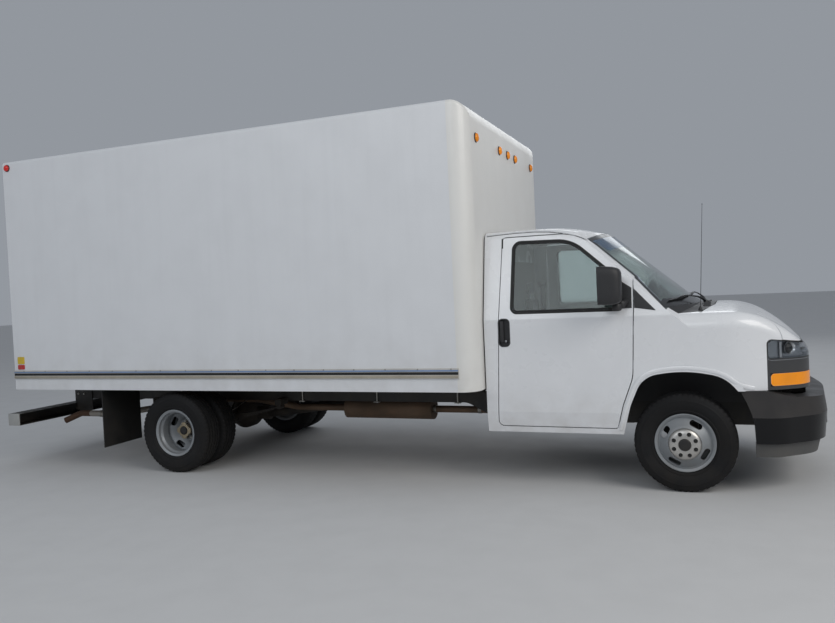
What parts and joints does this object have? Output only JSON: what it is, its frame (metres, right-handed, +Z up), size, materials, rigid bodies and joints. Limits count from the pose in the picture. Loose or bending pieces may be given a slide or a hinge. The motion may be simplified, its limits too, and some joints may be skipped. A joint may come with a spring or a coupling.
{
  "type": "box truck",
  "caption": "White box truck on a van-based chassis with twin rear wheels; cab doors and hood open, front wheels steer and all wheels turn.",
  "frame": {"origin": "on the ground at the middle of the whole truck's length and width", "axes": "+X forward towards the bumper, +Y to the truck's left, +Z up"},
  "size_m": [7.6268, 2.5, 3.087],
  "materials": {
    "axle_iron": "dusty black paint",
    "black_plastic": "grained",
    "black_rubber": "matte",
    "box_cap": "white moulded front cap",
    "box_paint": "white painted aluminium sheet",
    "bumper_coat": "satin dark grey coat",
    "cab_mat": "ribbed floor mat",
    "cab_paint": "white gloss enamel",
    "chassis_paint": "satin black paint",
    "clear_glass": "lightly tinted",
    "dash_plastic": "soft grained",
    "engine_iron": "rough casting",
    "exhaust_steel": "heat-browned steel with rust",
    "floor_wood": "laminated hardwood on steel sills",
    "grey_plastic": "grained, satin",
    "guard_steel": "black paint, scuffed",
    "hub_iron": "machined and weathered",
    "lamp_amber": "amber lens",
    "lamp_clear": "clear moulded lens",
    "radiator_metal": "black coated",
    "rear_steel": "white painted steel",
    "rub_metal": "mill finish, dusty",
    "seat_cloth": "woven cloth",
    "shaft_steel": "dull steel",
    "tank_paint": "satin black paint",
    "tyre": "worn matte rubber",
    "wheel_steel": "grey enamel, slightly dusty"
  },
  "bodies": {
    "chassis": {"air_dam": "grey_plastic", "arch_liners": "black_plastic", "box_floor": "floor_wood", "box_front": "box_cap", "box_roof": "box_paint", "box_sides": "box_paint", "cab_floor": "cab_mat", "cab_seal": "black_rubber", "cab_shell": "cab_paint", "cowl": "black_plastic", "crossmembers": "chassis_paint", "dashboard": "dash_plastic", "driveshaft": "shaft_steel", "engine": "engine_iron", "engine_cover": "dash_plastic", "exhaust": "exhaust_steel", "fenders": "cab_paint", "frame_rails": "chassis_paint", "front_bumper": "bumper_coat", "front_crossmember": "chassis_paint", "front_suspension": "axle_iron", "fuel_tank": "tank_paint", "grille": "black_plastic", "headlamps": "lamp_clear", "mud_flaps": "black_rubber", "radiator": "radiator_metal", "rear_axle": "axle_iron", "rear_door": "rear_steel", "rear_frame": "rear_steel", "rub_rails": "rub_metal", "seats": "seat_cloth", "turn_lamps": "lamp_amber", "underride_guard": "guard_steel", "windshield": "clear_glass"},
    "door_right": {"door_right": "cab_paint", "door_glass_right": "clear_glass", "mirror_right": "black_plastic"},
    "door_left": {"door_left": "cab_paint", "door_glass_left": "clear_glass", "mirror_left": "black_plastic"},
    "hood": {"hood": "cab_paint"},
    "steer_left": {"knuckle_left": "axle_iron"},
    "steer_right": {"knuckle_right": "axle_iron"},
    "wheel_front_left": {"front_tyre_left": "tyre", "front_rim_left": "wheel_steel", "front_hub_left": "hub_iron"},
    "wheel_front_right": {"front_tyre_right": "tyre", "front_rim_right": "wheel_steel", "front_hub_right": "hub_iron"},
    "wheel_rear_left": {"rear_tyres_left": "tyre", "rear_rims_left": "wheel_steel", "rear_hub_left": "hub_iron"},
    "wheel_rear_right": {"rear_tyres_right": "tyre", "rear_rims_right": "wheel_steel", "rear_hub_right": "hub_iron"},
    "steering_wheel": {"steering_wheel": "black_plastic"}
  },
  "joints": [
    {"name": "door_right_hinge", "type": "hinge", "parent": "chassis", "child": "door_right", "pos_m": [2.4335, -1.003, 1.1], "axis": [0, 0, 1], "range_deg": [0, 70]},
    {"name": "door_left_hinge", "type": "hinge", "parent": "chassis", "child": "door_left", "pos_m": [2.4335, 1.003, 1.1], "axis": [0, 0, -1], "range_deg": [0, 70]},
    {"name": "hood_hinge", "type": "hinge", "parent": "chassis", "child": "hood", "pos_m": [2.9285, 0, 1.392], "axis": [0, -1, 0], "range_deg": [0, 50]},
    {"name": "steer_left", "type": "hinge", "parent": "chassis", "child": "steer_left", "pos_m": [2.7785, 0.8, 0.372], "axis": [0, 0, 1], "range_deg": [-32, 32]},
    {"name": "steer_right", "type": "hinge", "parent": "chassis", "child": "steer_right", "pos_m": [2.7785, -0.8, 0.372], "axis": [0, 0, 1], "range_deg": [-32, 32]},
    {"name": "steering_wheel_turn", "type": "hinge", "parent": "chassis", "child": "steering_wheel", "pos_m": [2.0335, 0.42, 1.175], "axis": [-0.766, 0, 0.6428], "range_deg": [-512, 512]},
    {"name": "wheel_front_left_spin", "type": "hinge", "parent": "steer_left", "child": "wheel_front_left", "pos_m": [2.7785, 0.868, 0.372], "axis": [0, 1, 0], "continuous": true},
    {"name": "wheel_front_right_spin", "type": "hinge", "parent": "steer_right", "child": "wheel_front_right", "pos_m": [2.7785, -0.868, 0.372], "axis": [0, 1, 0], "continuous": true},
    {"name": "wheel_rear_left_spin", "type": "hinge", "parent": "chassis", "child": "wheel_rear_left", "pos_m": [-1.7175, 0.963, 0.372], "axis": [0, 1, 0], "continuous": true},
    {"name": "wheel_rear_right_spin", "type": "hinge", "parent": "chassis", "child": "wheel_rear_right", "pos_m": [-1.7175, -0.963, 0.372], "axis": [0, 1, 0], "continuous": true}
  ],
  "couplings": [
    {"joint": "steer_right", "follows": "steer_left", "ratio": 1},
    {"joint": "steering_wheel_turn", "follows": "steer_left", "ratio": 16}
  ]
}
